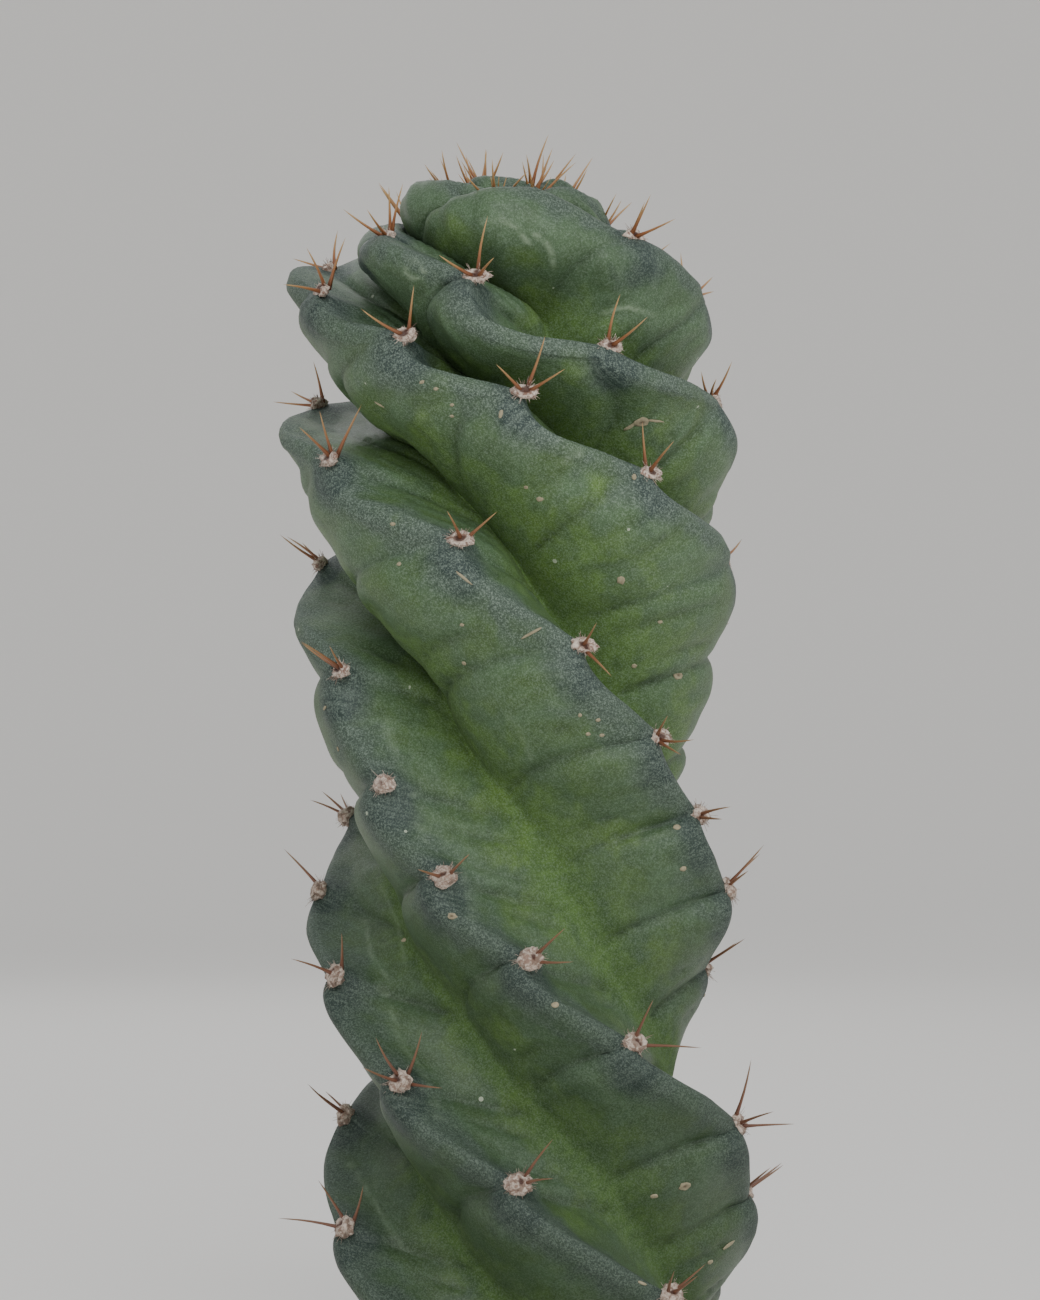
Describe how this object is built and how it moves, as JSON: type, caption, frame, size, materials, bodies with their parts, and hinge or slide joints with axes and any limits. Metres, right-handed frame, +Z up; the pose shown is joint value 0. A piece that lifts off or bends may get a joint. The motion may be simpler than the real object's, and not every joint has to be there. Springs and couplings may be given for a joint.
{
  "type": "spiral cactus",
  "caption": "Spiral columnar cactus with thick ribs winding round the stem, woolly areoles and short spines, cut flat at the foot so that it stands.",
  "frame": {"origin": "on the flat cut foot, under the stem's middle", "axes": "+Z up along the stem, -Y to the side the picture shows, +X to its right"},
  "size_m": [0.1312, 0.1245, 0.3191],
  "materials": {
    "skin": "satin, waxy blue-grey bloom on the crests, yellow-green in the furrows",
    "areole_wool": "matte felt",
    "spines": "satin, darker red-brown at the base",
    "corky_scars": "matte, rough",
    "cut_callus": "matte, dried"
  },
  "bodies": {
    "root": {"cactus_stem": "skin"}
  },
  "joints": []
}
